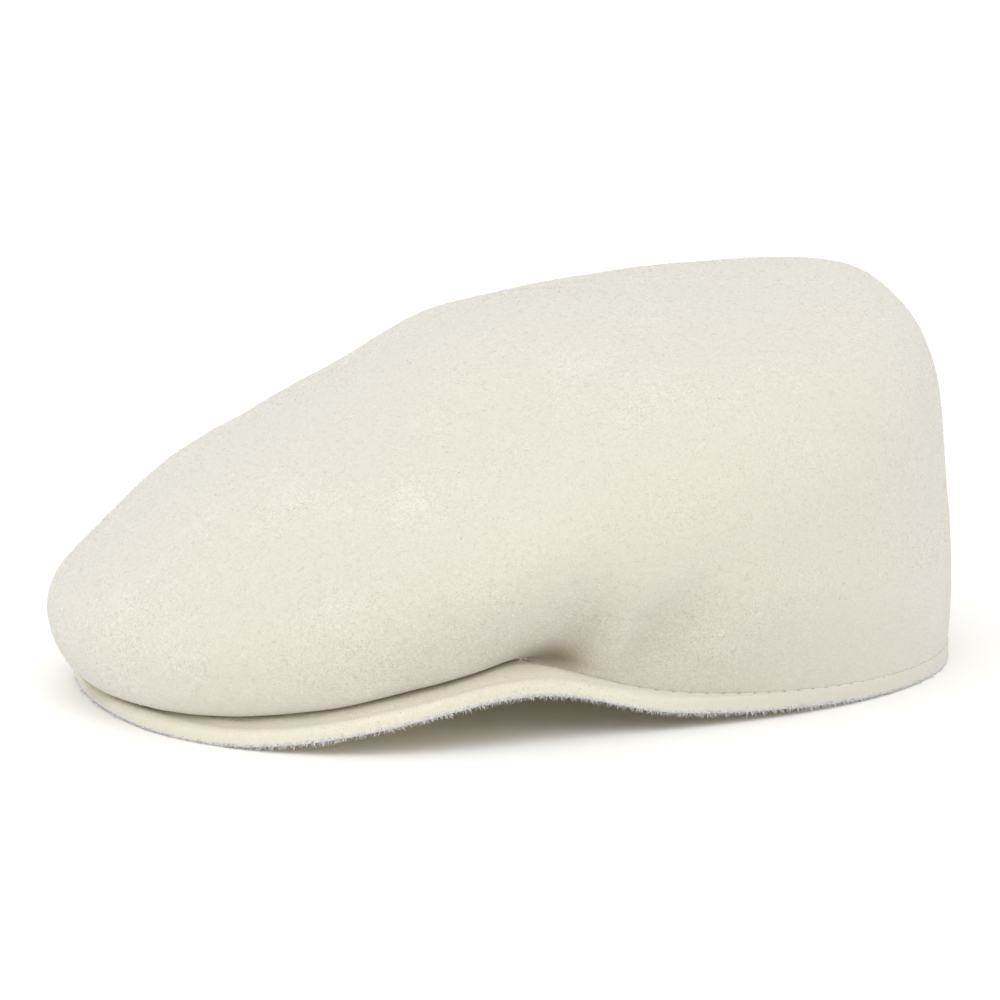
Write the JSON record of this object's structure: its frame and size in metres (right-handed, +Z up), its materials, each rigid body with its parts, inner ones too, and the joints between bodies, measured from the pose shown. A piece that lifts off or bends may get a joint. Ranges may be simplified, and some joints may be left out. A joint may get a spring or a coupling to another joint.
{
  "type": "flat cap",
  "caption": "Moulded cream wool felt flat cap: a hollow one-piece crown that overhangs a short curved peak, with a raw-cut stitched rim.",
  "frame": {"origin": "middle of the cap's outer box, on the plane it rests on", "axes": "-Y towards the peak, +X towards the wearer's left, +Z up through the top of the crown"},
  "size_m": [0.1984, 0.2628, 0.1085],
  "materials": {
    "crown_felt": "matt moulded wool felt, cream",
    "peak_felt": "matt stiffened wool felt, cream"
  },
  "bodies": {
    "root": {"crown": "crown_felt", "peak": "peak_felt"}
  },
  "joints": []
}
